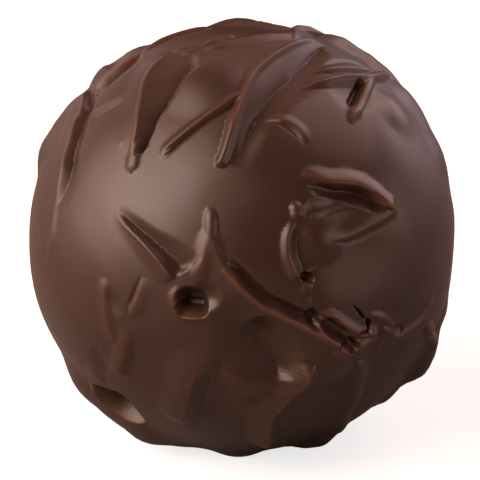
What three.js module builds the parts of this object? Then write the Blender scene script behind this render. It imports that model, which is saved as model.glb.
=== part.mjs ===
import * as THREE from 'three';

// A round praline of dark chocolate, dipped by hand: a ball on a small flat foot, whose coat was pulled into
// thin leaning folds, valleys between them, torn bubbles and pits. Millimetres, +Z up. The origin is the
// middle of the foot.

// Driving dimensions
const ballRadius = 14.5;
const footRadius = 4.5; // where the ball would meet the table if nothing rounded the foot's edge
const footRounding = 0.2;
const lipWidth = 0.34; // of the thin rolled edge along some crests
const crestRounding = 0.12; // how round the very top of a crest is

// The front view on which the folds are laid out: 20 degrees above the table, 14.7 points to a millimetre
const viewTilt = THREE.MathUtils.degToRad(20);
const viewDistance = 300;
const viewMiddle = [242, 238];
const viewScale = 14.7;

// Ways of the relief
const unionPower = 4; // how sharply folds that cross run into each other
const pathSteps = 5;
const narrowEnd = 0.35; // width that is left at the very end of a stroke
const valleyLift = -0.5; // share of its depth at which a valley's path is seen
const valleySharp = 0.8;
const footSharp = 0.7; // of the rise beyond the foot of a steep side
const plainReach = 0.7; // length of that rise as a share of the steep side's width
// Slow unevenness of the whole coat: pairs of waves, each with its turns along x, y and z and its start
const ripples = [
  { height: 0.05, waves: [[5.1, 2.3, 0, 0.7], [-1.9, 0, 4.3, 1.1]] },
  { height: 0.03, waves: [[0, 9.7, 3.1, 2], [8.3, 0, -2.7, 0]] },
];

// Mesh sizes
const fineEdge = 0.5;
const swellEdge = 0.3; // edge in the middle of a swell as a share of its width
const coarseEdge = 1.7;
const edgeGrowth = 0.75; // how much longer an edge may be for each millimetre away from a stroke
const fineShare = 0.3; // share of a stroke's width over which its edges are as short as on its line
const firstRounds = 3; // rounds in which every edge is halved
const lastRound = 10;
const edgeSlack = 1.35; // an edge is halved when it is this many times too long
const crestReach = 0.3; // a new point slides to a sharp line that is this share of its edge away
const clearShare = 0.12; // an edge's ends count as on a line within this share of its length
const sharpEnough = 0.55; // how sharp a stroke has to be for points to slide onto its line
const seenShare = 0.15; // share of its height from which a stroke's foot is an edge
const samePlace = 1e-4; // corners nearer to each other than this are one
const tiny = 1e-12; // keeps a division by a length from failing

const chocolateColour = 0x4a2c22;
const chocolateRoughness = 0.4;

const ballHeight = Math.sqrt(ballRadius ** 2 - footRadius ** 2);
const viewUp = new THREE.Vector3(0, Math.sin(viewTilt), Math.cos(viewTilt));
const viewRight = new THREE.Vector3(1, 0, 0);
const viewTowards = new THREE.Vector3(0, -Math.cos(viewTilt), Math.sin(viewTilt));

const { clamp, lerp } = THREE.MathUtils;
const limbAngle = (radius) => Math.asin(radius / viewDistance);
const onBall = (p) => p.setLength(ballRadius);

// Direction from the ball's middle to the spot that the front view shows at x, y, if it stands lift proud
function seenAt([x, y], lift) {
  const across = (x - viewMiddle[0]) / viewScale;
  const up = (viewMiddle[1] - y) / viewScale;
  const off = Math.max(Math.hypot(across, up), tiny);
  const radius = ballRadius + lift;
  const rim = viewDistance * Math.tan(limbAngle(radius));
  const sight = Math.atan2(off, viewDistance);
  const turn = off < rim
    ? Math.asin(viewDistance * Math.sin(sight) / radius) - sight
    : Math.PI / 2 - limbAngle(radius) + (off - rim) / ballRadius;
  const side = viewRight.clone().multiplyScalar(across / off).addScaledVector(viewUp, up / off);
  return viewTowards.clone().multiplyScalar(Math.cos(turn)).addScaledVector(side, Math.sin(turn));
}

// Direction so many degrees round from the front, to the right, and above the ball's waist
function roundAt([turn, rise]) {
  const a = THREE.MathUtils.degToRad(turn);
  const b = THREE.MathUtils.degToRad(rise);
  return new THREE.Vector3(Math.sin(a) * Math.cos(b), -Math.cos(a) * Math.cos(b), Math.sin(b));
}

// A stroke is a fold, a valley or a swell that follows a smooth line on the ball. Left and right are its
// widths on either side for someone who walks along it, or lists of widths from its start to its end. Sharp
// is 1 for a thin crest and 0 for a round back. The side named by steep falls to a foot that lies dip deep,
// straight or, with a curve above 1, more steeply near the crest, and the ground beyond the foot comes up
// over reach times its width. Fade is the length over which the stroke grows at its start and dies away at
// its end; with no fade its end is round. Lean tips its crest sideways, tip rounds it, and lip is the height
// of a thin rolled edge along it.
function stroke(kind, name, path, height, left, right, options) {
  const plain = { sharp: 1, tip: crestRounding, fade: [1, 1], lean: 0, lip: 0 };
  const foot = { steep: '', dip: 0, reach: plainReach, curve: 1 };
  return { kind, name, path, height, left, right, ...plain, ...foot, ...options };
}

const fold = (...sizes) => stroke('fold', ...sizes);
const valley = (name, path, depth, left, right, options) =>
  stroke('valley', name, path, depth, left, right, { sharp: valleySharp, ...options });
const swell = (name, path, height, width) => stroke('swell', name, path, height, width, width, { sharp: 0 });

function leftSide() {
  return [
    fold('left fold', [[87, 92], [82, 104], [75, 118], [69, 134], [63, 152], [60, 170], [57, 188],
      [55, 206]], 0.22, [0.2, 0.26, 0.32, 0.38, 0.4, 0.3], 1.6, { fade: [1.8, 2.6], sharp: 0.3,
      steep: 'left', dip: 0.42, reach: 4.5 }),
    fold('left fold tail', [[57, 186], [54, 208], [51, 238], [48, 265]], 0.1, 0.5, 0.9,
      { fade: [2.5, 3] }),
    fold('rim roll', [[140, 54], [124, 63], [110, 74], [99, 84], [90, 94]], 0.14, 0.26, 0.7,
      { fade: [1.8, 0.8], sharp: 0.3, steep: 'left', dip: 0.4, reach: 6 }),
    fold('left branch', [[134, 92], [118, 98], [103, 106], [88, 116]], 0.07, 0.5, 0.22, { fade: [1.5, 1],
      steep: 'left', dip: 0.06, reach: 2 }),
  ];
}

function upperLeft() {
  return [
    fold('second fold', [[174, 52], [160, 60], [150, 71], [144, 84], [141, 98], [138, 112], [136, 127],
      [133, 142], [130, 156]], 0.2, [1.8, 2.5, 2.5, 2.1, 1.5, 0.95, 0.7, 0.5], 1.8, { fade: [1.8, 1.2],
      sharp: 0.6, lip: 0.06, steep: 'left', dip: 0.65, reach: 0.45, curve: 0.75 }),
    fold('second fold end', [[137, 136], [134, 149], [131, 163]], 0.24, 0.5, 0.62, { fade: [1.5, 0],
      sharp: 0.2 }),
    fold('third fold', [[243, 91], [226, 102], [208, 114], [190, 127], [174, 140], [160, 155]], 0.22, 0.3,
      0.5, { fade: [1.5, 0.8], steep: 'left', dip: 0.1 }),
    fold('third fold end', [[174, 142], [164, 152]], 0.14, 0.5, 0.34, { fade: [1, 0], sharp: 0.2 }),
    fold('short fold', [[236, 104], [232, 120], [228, 137], [223, 154], [218, 168]], 0.4, 0.42, 0.34,
      { fade: [2, 0.4], sharp: 0.35 }),
  ];
}

function longCrest() {
  return [
    fold('long crest', [[326, 38], [312, 38], [297, 42], [281, 50], [267, 60], [256, 71], [249, 83],
      [244, 96], [239, 111], [234, 128], [229, 145], [223, 163]], 0.32,
      [0.3, 0.7, 1.2, 1.6, 1.6, 1.4, 1.15, 0.9, 0.75, 0.6], 0.5, { fade: [4, 4.5], lip: 0.16, steep: 'left',
      dip: 0.66, reach: 1.6, curve: 0.85 }),
  ];
}

function top() {
  return [
    fold('top edge', [[172, 52], [188, 50], [204, 47]], 0.16, 0.7, 0.5, { fade: [0.9, 0.9] }),
    fold('top blob', [[202, 46], [210, 40], [220, 36], [228, 34]], 0.2, 0.5, 0.5, { fade: [1.2, 0],
      sharp: 0.2 }),
    fold('top rim', [[206, 51], [224, 43], [240, 38], [256, 35], [272, 33], [290, 32], [308, 32]], 0.24,
      0.8, 0.9, { fade: [1.5, 1.2] }),
    fold('middle fin', [[264, 117], [278, 118], [291, 122], [301, 130], [308, 143]], 0.16, 0.6, 0.32,
      { fade: [2.2, 1.4], sharp: 0.5, steep: 'right', dip: 0.12 }),
  ];
}

function upperRight() {
  return [
    valley('upper right groove', [[316, 65], [332, 63], [350, 62], [370, 63]], 0.1, 0.3, 0.3,
      { fade: [1, 0.5] }),
    fold('upper right ridge', [[312, 70], [330, 67], [346, 66], [362, 67], [378, 69]], 0.32, 0.5, 0.45,
      { fade: [2.2, 1], sharp: 0.5, tip: 0.1 }),
    fold('lower right ridge', [[302, 86], [314, 81], [328, 78], [342, 75], [358, 74], [374, 74], [390, 71]],
      0.42, 0.45, 0.55, { fade: [2.5, 1], sharp: 0.5, tip: 0.1 }),
    valley('lower right groove', [[300, 91], [315, 87], [330, 84], [346, 81]], 0.08, 0.3, 0.4,
      { fade: [1, 0.8] }),
    fold('ear', [[371, 77], [369, 86], [365, 96], [360, 106], [355, 114], [350, 123]], 0.3, 0.4, 0.55,
      { fade: [0.6, 1.4], sharp: 0.3 }),
    valley('ear slit', [[360, 81], [356, 89], [353, 98], [350, 107]], 0.55, 0.24, 0.3, { fade: [0.8, 0.8],
      sharp: 0.4 }),
    swell('ear dish', [[352, 94]], -0.3, 1.8),
    swell('ear cheek', [[396, 112]], 0.3, 2.2),
  ];
}

function lid() {
  return [
    fold('lid', [[301, 172], [318, 174], [334, 178], [350, 179], [364, 182], [377, 190], [387, 199],
      [394, 208]], 0.44, 0.8, [0.6, 0.5, 0.42, 0.36, 0.34], { fade: [3, 0.5], sharp: 0.35, lean: 0.24 }),
    valley('lid cavity', [[306, 187], [326, 188], [345, 190], [362, 194], [375, 200], [386, 208]], 0.6,
      0.28, 1.2, { fade: [3.4, 0.8], sharp: 0.3 }),
    valley('lid groove', [[305, 217], [313, 209], [325, 204], [340, 200], [356, 200]], 0.18, 0.7, 0.7,
      { fade: [1, 1], sharp: 0.1 }),
    swell('lid dish', [[345, 206]], -0.3, 2.2),
    swell('lid bulge', [[322, 240]], 0.3, 1.8),
    fold('lid return', [[396, 208], [389, 215], [376, 223], [362, 230], [348, 236], [333, 240]], 0.12, 0.35,
      1.2, { fade: [0.5, 2], sharp: 0.3, steep: 'left', dip: 0.06 }),
  ];
}

function centre() {
  return [
    fold('small blob', [[297, 208], [298, 213]], 0.22, 0.45, 0.45, { fade: [0, 0], sharp: 0.1 }),
    fold('upright ridge', [[294, 221], [289, 234], [288, 248], [290, 262], [298, 281]], 0.26, 0.62, 0.4,
      { fade: [1.2, 0.6], sharp: 0.5, steep: 'left', dip: 0.3, reach: 3.5, curve: 1.2 }),
    valley('upright hole', [[305, 276], [308, 277]], 0.6, 0.34, 0.34, { fade: [0, 0], sharp: 0.1 }),
    fold('upright flap', [[300, 291], [307, 288], [314, 288]], 0.16, 0.35, 0.9, { fade: [0.7, 0.7],
      sharp: 0.2 }),
    swell('upper press dish', [[345, 256]], -0.2, 4),
    swell('lower press dish', [[374, 266]], -0.3, 4.2),
  ];
}

function centreLeft() {
  return [
    fold('flap', [[115, 213], [126, 226], [138, 238], [150, 251], [161, 264], [173, 280]], 0.2,
      [0.25, 0.28, 0.36, 0.55, 0.75], 1, { fade: [4.5, 0.5], sharp: 0.6, lip: 0.1, steep: 'left', dip: 0.42,
      reach: 2.6 }),
    fold('flat ridge', [[210, 207], [210, 220], [210, 236], [210, 250]], 0.3, 0.42, 0.46, { fade: [1, 1.5],
      sharp: 0.2 }),
    fold('left branch of the flat ridge', [[207, 226], [206, 241], [204, 255], [200, 267], [193, 280]],
      0.28, 1.3, 0.6, { fade: [1.5, 1.5], sharp: 0.4 }),
    fold('right branch of the flat ridge', [[213, 228], [213, 243], [217, 257], [224, 268], [234, 281]],
      0.26, 0.42, 1.4, { fade: [1.5, 0.8], sharp: 0.4 }),
    valley('pit', [[191, 298], [198, 299]], 1.15, 0.95, 0.95, { fade: [0, 0], sharp: 0 }),
    valley('pit floor', [[188, 304], [201, 305]], 1.4, 0.62, 0.62, { fade: [0, 0], sharp: 0 }),
    valley('pit ramp', [[206, 296]], 0.5, 1.1, 1.1, { sharp: 0 }),
    fold('pit rim', [[180, 287], [174, 296], [175, 306], [182, 314], [193, 318], [206, 318]], 0.16, 0.4,
      0.5, { fade: [1.2, 1.5], sharp: 0.5 }),
  ];
}

function longDiagonal() {
  return [
    fold('long diagonal', [[222, 268], [234, 281], [248, 296], [264, 309], [282, 318], [301, 327],
      [320, 336], [340, 346]], 0.36, [0.6, 0.6, 0.6, 0.6, 0.4], [1.6, 1.6, 1.8, 2.6, 3, 1.8, 0.8],
      { fade: [1.5, 0], lip: 0.12, steep: 'left', dip: 0.5, curve: 1.2 }),
    swell('dark bay', [[246, 328]], -0.5, 2.6),
    swell('lower dark bay', [[250, 352]], -0.3, 2.4),
    valley('bay line', [[257, 316], [265, 332], [272, 348], [277, 364], [279, 380]], 0.8, 2, 2.4,
      { fade: [2, 1] }),
    fold('bay side branch', [[308, 355], [298, 365], [284, 380]], 0.12, 0.5, 0.8, { fade: [1.2, 0.6],
      sharp: 0.5 }),
    fold('bay sill', [[218, 369], [232, 378], [248, 387], [264, 391], [284, 390], [306, 380]], 0.26, 1, 1,
      { fade: [1.5, 1.5], sharp: 0.4 }),
  ];
}

function curl() {
  return [
    valley('small hole', [[310, 314], [315, 322]], 0.55, 0.45, 0.45, { fade: [0, 0], sharp: 0.1 }),
    valley('curl tube', [[330, 323], [338, 331]], 0.36, 0.5, 0.55, { fade: [0, 0], sharp: 0.1 }),
    valley('curl hole', [[346, 341], [351, 345]], 0.7, 0.4, 0.4, { fade: [0, 0], sharp: 0.1 }),
    fold('curl', [[322, 311], [332, 315], [344, 323], [355, 330], [366, 334], [376, 333]], 0.32, 0.32, 0.4,
      { fade: [0.8, 0.2], sharp: 0.4 }),
    fold('curl back', [[377, 336], [367, 344], [356, 350], [344, 353], [330, 354]], 0.32, 0.7, 0.5,
      { fade: [0.3, 1], sharp: 0.4 }),
    fold('curl tip', [[372, 332], [376, 334]], 0.3, 0.4, 0.4, { fade: [0, 0], sharp: 0.2 }),
    valley('crevice', [[352, 304], [359, 312], [365, 320]], 0.4, 0.12, 0.12, { fade: [1.5, 0.3],
      tip: 0.04 }),
    valley('crevice foot', [[367, 318], [367, 324], [364, 330], [357, 332]], 0.5, 0.2, 0.2,
      { fade: [0.5, 0.3], tip: 0.06 }),
    swell('curl ledge', [[304, 306]], 0.12, 0.7),
    fold('tube rim', [[321, 316], [321, 326], [324, 336], [330, 342]], 0.2, 0.3, 0.3, { fade: [0.3, 0.3],
      sharp: 0.2 }),
  ];
}

function wavyRidge() {
  return [
    fold('wavy branch', [[369, 316], [379, 317], [388, 321], [394, 328]], 0.14, 0.35, 0.45,
      { fade: [1, 0.6] }),
    fold('wavy ridge', [[382, 327], [391, 334], [401, 337], [411, 331], [421, 323], [428, 311], [433, 292]],
      0.24, 0.6, 0.8, { fade: [0.8, 2.5] }),
    valley('wavy hollow', [[394, 328], [402, 330]], 0.16, 0.4, 0.4, { fade: [0.3, 0.3], sharp: 0.3 }),
    fold('wavy tip', [[424, 326], [432, 331], [437, 337], [438, 345]], 0.3, 0.6, 0.7, { fade: [1, 0.8],
      sharp: 0.5 }),
    valley('wavy shade', [[380, 344], [392, 346], [406, 345]], 0.16, 0.8, 1, { fade: [1.2, 1.2],
      sharp: 0.2 }),
  ];
}

function leftVee() {
  return [
    fold('vee left', [[105, 278], [103, 294], [105, 314], [110, 334], [120, 346]], 0.14, 0.6, 0.8,
      { fade: [1.2, 1.5], sharp: 0.8 }),
    valley('vee hollow', [[110, 286], [114, 300], [121, 316]], 0.14, 0.7, 0.6, { fade: [1.2, 1.2],
      sharp: 0.3 }),
    fold('vee right', [[144, 277], [140, 291], [135, 304], [129, 317]], 0.12, 0.9, 0.3, { fade: [1.2, 1.2],
      sharp: 0.6, steep: 'right', dip: 0.1 }),
    fold('vee tongue', [[127, 326], [124, 344], [120, 360], [116, 374]], 0.22, 0.8, 0.9, { fade: [3, 0.9],
      sharp: 0.2 }),
    valley('left low groove', [[96, 345], [103, 359], [107, 376]], 0.2, 0.4, 1.3, { fade: [1.5, 0.8],
      sharp: 0.4 }),
    swell('left low cheek', [[96, 374]], 0.15, 1),
  ];
}

function lowerLeft() {
  return [
    fold('broad ridge', [[222, 370], [204, 371], [194, 378], [189, 391], [186, 406], [180, 424]], 0.38, 0.9,
      2.2, { fade: [1.8, 1.8], sharp: 0.3, steep: 'left', dip: 0.06, curve: 0.8 }),
  ];
}

function bottom() {
  return [
    fold('bottom crest', [[313, 364], [311, 377], [304, 387], [292, 398], [278, 413], [269, 426],
      [266, 444]], 0.7, 0.9, 1.5, { fade: [1.2, 1.5], sharp: 0.6 }),
    fold('right lower ridge', [[358, 360], [362, 378], [358, 394], [352, 409], [345, 422], [337, 434]],
      0.42, 0.9, 1, { fade: [1, 1.5], sharp: 0.6 }),
    swell('lower left dish', [[155, 365]], -0.2, 3),
    swell('bottom dish', [[222, 408]], -0.22, 2.2),
    swell('lower right dish', [[330, 395]], -0.22, 2.2),
    swell('low front swell', [[328, 358]], 0.7, 3.4),
  ];
}

function outline() {
  return [
    swell('left rim start', [[121, 38]], 0.36, 1.8),
    swell('swell between the folds', [[206, 78]], 0.45, 3.8),
    swell('left rim bump', [[101, 53]], 0.06, 1.8),
    swell('left rim knob', [[76, 76]], 0.12, 1.8),
    swell('left rim foot', [[52, 100]], 0.42, 2),
    swell('left corner', [[26, 136]], 0.62, 2.6),
    swell('upper right bulge', [[408, 97]], 0.6, 3),
    swell('upper right knuckle', [[386, 54]], 0.75, 2.4),
    swell('upper right shoulder', [[360, 42]], 0.3, 1.6),
    swell('right bulge', [[438, 146]], 0.38, 3.5),
    swell('top right bulge', [[340, 32]], 0.8, 2.1),
    swell('top bulge', [[240, 15]], 0.52, 2.8),
    swell('left low bulge', [[88, 391]], 0.75, 3.4),
    swell('lower left bulge', [[133, 426]], 0.75, 3),
    swell('left bottom bulge', [[162, 441]], 0.4, 2.6),
    swell('bottom bulge', [[238, 452]], 0.38, 2),
    swell('lower right bulge', [[314, 444]], 0.55, 1.8),
    swell('right low bump', [[388, 396]], 0.34, 1.3),
    swell('right corner', [[426, 358]], 0.9, 2.4),
    swell('right low shoulder', [[416, 382]], 0.42, 1.8),
    swell('right low knob', [[338, 452]], 0.4, 1.8),
    swell('right shoulder', [[448, 322]], 0.3, 2),
    swell('right dish', [[456, 254]], -0.15, 3),
  ];
}

function frontStrokes() {
  const groups = [
    leftSide, upperLeft, longCrest, top, upperRight, lid, centre, centreLeft, longDiagonal, curl, wavyRidge,
    leftVee, lowerLeft, bottom, outline,
  ];
  return groups.flatMap((group) => group());
}

function downTheBack() {
  return [
    fold('back long crest', [[150, 66], [139, 48], [131, 30], [127, 10]], 0.6, 0.4,
      [0.7, 2.2, 1.7, 0.9, 0.5], { fade: [2, 4], lip: 0.2, steep: 'right', dip: 0.35 }),
    fold('back second fold', [[188, 62], [176, 46], [168, 29], [165, 14]], 0.5, [2.2, 1.8, 1, 0.5], 0.9,
      { fade: [0.8, 1.2], sharp: 0.6, lip: 0.06, steep: 'left', dip: 0.35 }),
    fold('back third fold', [[222, 56], [208, 43], [197, 30], [191, 18]], 0.34, 0.48, 0.6,
      { fade: [1.5, 0.4], steep: 'left', dip: 0.1 }),
    fold('back fourth fold', [[250, 50], [240, 36], [233, 22], [229, 8]], 0.45, [0.6, 1.4, 0.9, 0.5], 1.6,
      { fade: [0.8, 4], steep: 'left', dip: 0.3 }),
    fold('back branch', [[231, 40], [219, 36], [207, 38]], 0.2, 0.4, 1, { fade: [1, 0.4] }),
    fold('crown fold', [[90, 76], [130, 73], [170, 74]], 0.3, 0.6, 0.6, { fade: [1.5, 1.5] }),
    fold('crown edge', [[220, 78], [246, 70], [258, 62]], 0.3, 0.5, 0.9, { fade: [1, 1.5] }),
  ];
}

function rightSide() {
  return [
    fold('right side fold', [[124, 46], [118, 32], [114, 16], [113, 2]], 0.45, 1.4, 0.7, { fade: [1.5, 3],
      steep: 'right', dip: 0.2 }),
    fold('right side branch', [[132, 20], [123, 16], [115, 18]], 0.2, 0.8, 0.5, { fade: [0.8, 1] }),
    fold('right side low fold', [[104, -18], [114, -25], [127, -28], [139, -24]], 0.45, 0.6, 1.6,
      { fade: [1.5, 1], steep: 'left', dip: 0.25 }),
    fold('right side wave', [[94, -44], [104, -48], [116, -47], [126, -41]], 0.3, 0.6, 0.8,
      { fade: [1.2, 1] }),
  ];
}

function middleOfTheBack() {
  return [
    fold('back lid', [[158, 3], [168, 8], [182, 9], [195, 4], [203, -5]], 0.5, 0.55, 0.42, { fade: [1, 0.6],
      sharp: 0.2, lean: 0.15 }),
    valley('back lid cavity', [[166, 2], [180, 4], [194, -1]], 0.8, 0.36, 1.2, { fade: [1, 0.5],
      sharp: 0.4 }),
    fold('back lid return', [[203, -6], [192, -13], [178, -15], [166, -12]], 0.18, 1, 0.4,
      { fade: [0.4, 1.5], sharp: 0.3 }),
    fold('back flap', [[222, -2], [213, -10], [206, -19], [202, -28]], 0.35, 1.2, [0.3, 0.9, 1.3],
      { fade: [1.2, 0.5], sharp: 0.6, lip: 0.08, steep: 'right', dip: 0.45 }),
    fold('back long diagonal', [[150, -8], [158, -20], [170, -29], [186, -35], [200, -42]], 0.5, 0.6, 1.6,
      { fade: [1.5, 0.5], lip: 0.1, steep: 'left', dip: 0.3 }),
    valley('back pit', [[140, -24], [146, -28]], 0.9, 0.9, 0.9, { fade: [0.4, 0.4], sharp: 0.1 }),
    fold('back pit rim', [[133, -22], [137, -32], [147, -36], [155, -32]], 0.3, 0.9, 0.4,
      { fade: [0.6, 0.8], sharp: 0.5 }),
  ];
}

function leftOfTheBack() {
  return [
    fold('left side fold', [[248, 34], [244, 16], [242, 0], [243, -14]], 0.42, 0.7, 1.4, { fade: [1, 3.5],
      steep: 'left', dip: 0.2 }),
    fold('left side second', [[236, -2], [232, -14], [232, -26]], 0.34, 0.6, 0.9, { fade: [1, 1.5] }),
    fold('left side vee', [[262, -22], [256, -31], [246, -36]], 0.3, 0.9, 0.5, { fade: [0.8, 1] }),
    valley('left side dip', [[262, -42], [252, -46]], 0.3, 1.2, 1.2, { sharp: 0.1 }),
  ];
}

function lowRoundTheBack() {
  return [
    fold('back low ridge', [[212, -36], [224, -46], [240, -50]], 0.4, 0.8, 0.9, { fade: [1, 1] }),
    fold('back low crest', [[170, -46], [182, -54], [198, -58]], 0.36, 0.9, 0.7, { fade: [1, 0.8] }),
    fold('right low crest', [[124, -42], [136, -52], [152, -56]], 0.36, 0.8, 0.7, { fade: [1, 0.8] }),
    swell('back right swell', [[132, -12]], 0.3, 4.5),
    swell('back left swell', [[230, -30]], 0.35, 4.5),
    swell('back upper swell', [[204, 40]], 0.3, 5),
    swell('back low swell', [[176, -44]], 0.45, 4),
  ];
}

function lowerPit() {
  return [
    fold('lower pit rim', [[-56, -33], [-54, -40], [-48, -44.5], [-39, -46]], 0.35, 0.45, 0.45,
      { fade: [0.7, 0.8], sharp: 0.5, steep: 'left', dip: 1.6, reach: 7 }),
  ];
}

function backStrokes() {
  const groups = [
    downTheBack, rightSide, middleOfTheBack, leftOfTheBack, lowRoundTheBack, lowerPit,
  ];
  return groups.flatMap((group) => group());
}

// 0 to 1, level at the end
const easeOut = (t) => clamp(t, 0, 1) * (2 - clamp(t, 0, 1));

// Share of a stroke's height at share u of its width, for a thin crest or a round back
function flank(u, sharp) {
  const v = clamp(u, 0, 1);
  return (1 - sharp) * (1 - v * v) ** 2 + sharp * (1 - v) ** 2 * (1 + 0.5 * v);
}

// Catmull-Rom line through the points of a path, brought back onto the ball
function smoothLine(points) {
  if (points.length === 1) return points;
  const curve = new THREE.CatmullRomCurve3(points, false, 'catmullrom', 0.5);
  return curve.getPoints((points.length - 1) * pathSteps).map(onBall);
}

// Share of a stroke's height at each point, from the lengths over which it grows and dies away
function heightShares(points, [start, end]) {
  const run = [0];
  for (let i = 1; i < points.length; i++) run.push(run[i - 1] + points[i].distanceTo(points[i - 1]));
  const whole = run[run.length - 1];
  const grown = (length, fade) => (fade && points.length > 1 ? easeOut(length / fade) : 1);
  return run.map((length) => grown(length, start) * grown(whole - length, end));
}

// A width for each point of a line: from a list spread along it, or one that narrows at the ends
function widthsAlong(side, shares) {
  if (!Array.isArray(side)) return shares.map((share) => side * lerp(narrowEnd, 1, share));
  return shares.map((_, i) => {
    const at = i / (shares.length - 1) * (side.length - 1);
    const k = Math.min(Math.floor(at), side.length - 2);
    return lerp(side[k], side[k + 1], at - k);
  });
}

// The way to the right of someone who walks along a line, at each of its points
function waysAcross(line) {
  return line.map((p, i) => {
    const ahead = line[Math.min(i + 1, line.length - 1)];
    const behind = line[Math.max(i - 1, 0)];
    return ahead.clone().sub(behind).normalize().cross(p.clone().normalize());
  });
}

// A round patch of the ball that holds every point of a line
function patchRound(line) {
  const middle = onBall(line.reduce((sum, p) => sum.add(p), new THREE.Vector3()));
  return { middle, span: Math.max(...line.map((p) => p.distanceTo(middle))) };
}

// How far the swells lift a spot on the ball that a stroke is laid over
function swellAt(p, ground) {
  return ground.reduce((lift, s) => {
    const near = nearest(s, p);
    return lift + s.height * near.share * flank(near.distance / near.width, 0);
  }, 0);
}

// Works out a stroke's line on the ball, with its share of height, widths and way to the right at each point
function layOut(place, ground, stroke) {
  const lift = { fold: stroke.height, valley: valleyLift * stroke.height, swell: 0 }[stroke.kind];
  const flat = stroke.path.map((p) => onBall(place(p, 0)));
  const lifts = heightShares(flat, stroke.fade).map((share, i) => lift * share + swellAt(flat[i], ground));
  const line = smoothLine(stroke.path.map((p, i) => onBall(place(p, lifts[i]))));
  const share = heightShares(line, stroke.fade);
  const [left, right] = [stroke.left, stroke.right].map((side) => widthsAlong(side, share));
  const across = waysAcross(line);
  return { ...stroke, line, share, left, right, across, ...patchRound(line) };
}

// Where a line on the ball is nearest to a point: segment, share of that segment, spot and distance
function closest(line, p) {
  const best = { distance: Infinity };
  for (let i = 0; i < Math.max(line.length - 1, 1); i++) {
    const along = line[Math.min(i + 1, line.length - 1)].clone().sub(line[i]);
    const t = clamp(p.clone().sub(line[i]).dot(along) / Math.max(along.lengthSq(), tiny), 0, 1);
    const spot = line[i].clone().addScaledVector(along, t);
    const distance = spot.distanceTo(p);
    if (distance < best.distance) Object.assign(best, { distance, spot, i, t });
  }
  return best;
}

// The nearest spot of a stroke to a point, on which side of it the point lies, and the height share and width
function nearest(s, p) {
  const best = closest(s.line, p);
  const next = Math.min(best.i + 1, s.line.length - 1);
  const between = (values) => lerp(values[best.i], values[next], best.t);
  const across = s.across[best.i].clone().lerp(s.across[next], best.t);
  const onRight = p.clone().sub(best.spot).dot(across) >= 0;
  return { ...best, across, onRight, share: between(s.share), width: between(onRight ? s.right : s.left) };
}

const onSteepSide = (s, near) => s.steep === (near.onRight ? 'right' : 'left');

// A stroke's height over the ball near its line
function riseOf(s, near) {
  const u = (Math.hypot(near.distance, s.tip) - s.tip) / near.width;
  if (!onSteepSide(s, near)) return near.share * s.height * flank(u, s.sharp);
  const fall = (s.height + s.dip) * clamp(1 - u, 0, 1) ** s.curve - s.dip;
  return near.share * (u < 1 ? fall : -s.dip * flank((u - 1) / s.reach, footSharp));
}

// Length of an edge of the mesh in the middle of a stroke
const ownEdge = (s) => (s.kind === 'swell' ? swellEdge * Math.max(...s.left) : fineEdge);

// Length that an edge may have near a stroke
function edgeNear(s, near) {
  let off = near.distance - fineShare * near.width;
  if (onSteepSide(s, near)) off = Math.min(off, Math.abs(near.distance - near.width));
  return ownEdge(s) + edgeGrowth * Math.max(0, off);
}

// How far the ripples lift the coat in a direction
function ripple({ x, y, z }) {
  const wave = ([a, b, c, start]) => Math.sin(a * x + b * y + c * z + start);
  return ripples.reduce((sum, { height, waves }) => sum + height * wave(waves[0]) * wave(waves[1]), 0);
}

// Flattens what would reach below the table, with a small rounding
function restOnTable(z) {
  if (z > footRounding) return z;
  return z < -footRounding ? 0 : (z + footRounding) ** 2 / (4 * footRounding);
}

// Adds what one stroke does to a spot of the coat
function addStroke(sum, s, near) {
  const rise = riseOf(s, near);
  if (s.kind === 'swell') sum.swells += rise;
  if (s.kind === 'valley') sum.valleys += rise ** unionPower;
  if (s.kind === 'fold') {
    const height = Math.max(rise, 0);
    sum.folds += height ** unionPower;
    sum.valleys += Math.max(-rise, 0) ** unionPower;
    sum.lean.addScaledVector(near.across, height ** (unionPower + 1) * s.lean / s.height);
    sum.swells += s.lip * near.share * flank(near.distance / lipWidth, 0);
  }
  sum.edge = Math.min(sum.edge, edgeNear(s, near));
}

// Where the coat lies in a direction, and how long an edge may be there
function coatAt(direction, strokes) {
  const p = onBall(direction.clone());
  const lean = new THREE.Vector3();
  const sum = { swells: ripple(direction), folds: 0, valleys: 0, lean, edge: coarseEdge };
  for (const s of strokes) {
    const widest = Math.max(...s.left, ...s.right);
    const reach = widest * (1 + s.reach) + Math.max(0, (coarseEdge - ownEdge(s)) / edgeGrowth);
    if (p.distanceTo(s.middle) < s.span + reach) addStroke(sum, s, nearest(s, p));
  }
  const rise = sum.swells + sum.folds ** (1 / unionPower) - sum.valleys ** (1 / unionPower);
  const place = direction.clone().multiplyScalar(ballRadius + rise);
  place.addScaledVector(lean, 1 / (sum.folds + tiny));
  place.z = restOnTable(place.z + ballHeight);
  return { direction, place, edge: sum.edge };
}

// The lines along which the coat has an edge: sharp crests and valleys, and the feet of steep sides
function sharpLines(s) {
  const lines = [];
  if (s.kind !== 'swell' && (s.sharp >= sharpEnough || s.steep) && s.line.length > 1) {
    lines.push({ line: s.line, across: s.across });
  }
  if (s.steep) {
    const out = s.steep === 'right' ? s.right : s.left.map((width) => -width);
    const foot = s.line.map((p, i) => onBall(p.clone().addScaledVector(s.across[i], out[i])));
    const seen = (_, i) => s.share[i] > seenShare;
    lines.push({ line: foot.filter(seen), across: s.across.filter(seen) });
  }
  return lines.filter(({ line }) => line.length > 1).map((edge) => ({ ...edge, ...patchRound(edge.line) }));
}

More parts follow.
